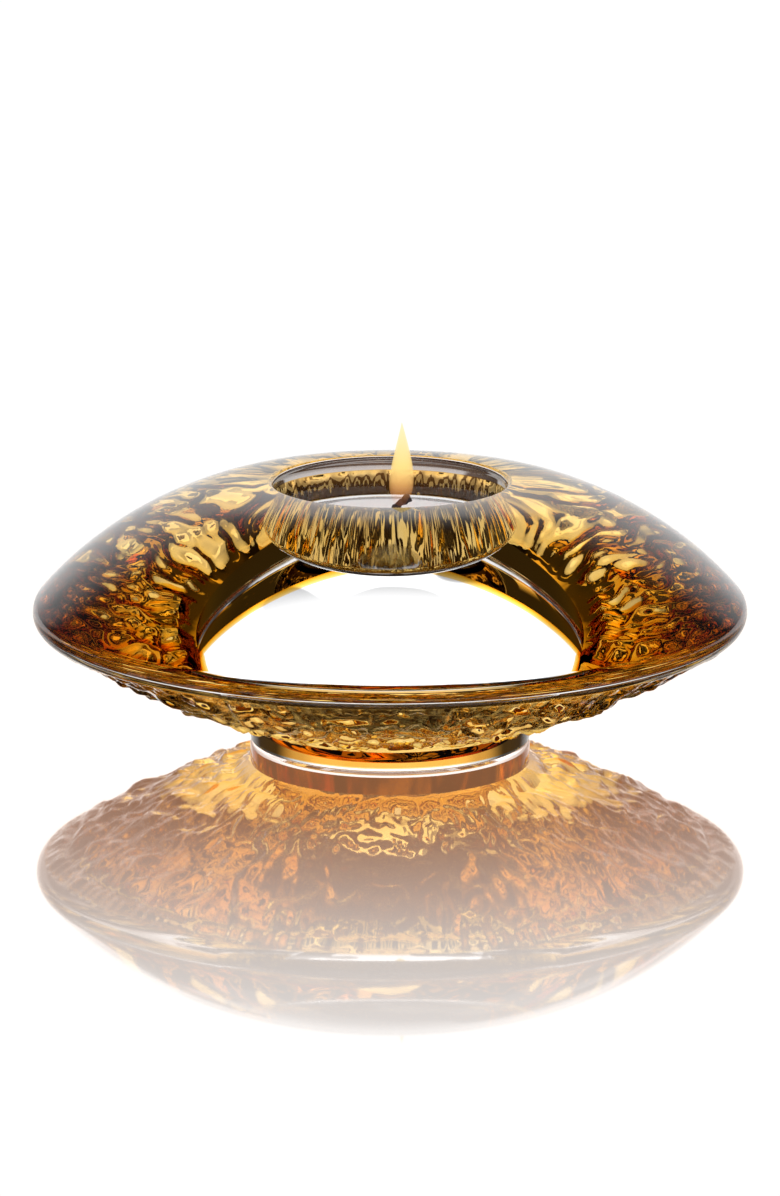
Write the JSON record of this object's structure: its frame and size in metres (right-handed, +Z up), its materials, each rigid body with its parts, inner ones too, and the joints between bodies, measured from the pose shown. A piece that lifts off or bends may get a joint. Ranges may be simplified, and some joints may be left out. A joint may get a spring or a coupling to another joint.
{
  "type": "tealight holder",
  "caption": "Round lens-shaped glass tealight holder on a low polished foot, amber and furrowed underneath, with a tealight in the well in its crown.",
  "frame": {"origin": "middle of the foot's flat base, on the surface that the holder stands on", "axes": "+Z up along the axis of the lens and its well; +X is the side that the wick leans to"},
  "size_m": [0.12, 0.12, 0.0442],
  "materials": {
    "clear_glass": "clear, thick and polished all over",
    "amber_glass": "transparent amber, pressed with radial furrows on its lower face",
    "tealight_metal": "thin bright sheet with a finely fluted side",
    "paraffin_wax": "smooth white wax, slightly translucent",
    "tinned_steel": "dull tinned sheet",
    "charred_cotton": "charred braided cotton"
  },
  "bodies": {
    "holder": {"glass_body": "clear_glass", "amber_underlay": "amber_glass"},
    "tealight_can": {"tealight_can": "tealight_metal"},
    "candle": {"wax": "paraffin_wax", "wick_sustainer": "tinned_steel", "wick": "charred_cotton"}
  },
  "joints": [
    {"name": "tealight_lift", "type": "slide", "parent": "holder", "child": "tealight_can", "axis": [0, 0, 1], "range_m": [0, 0.024]},
    {"name": "wax_lift", "type": "slide", "parent": "tealight_can", "child": "candle", "axis": [0, 0, 1], "range_m": [0, 0.017]}
  ]
}
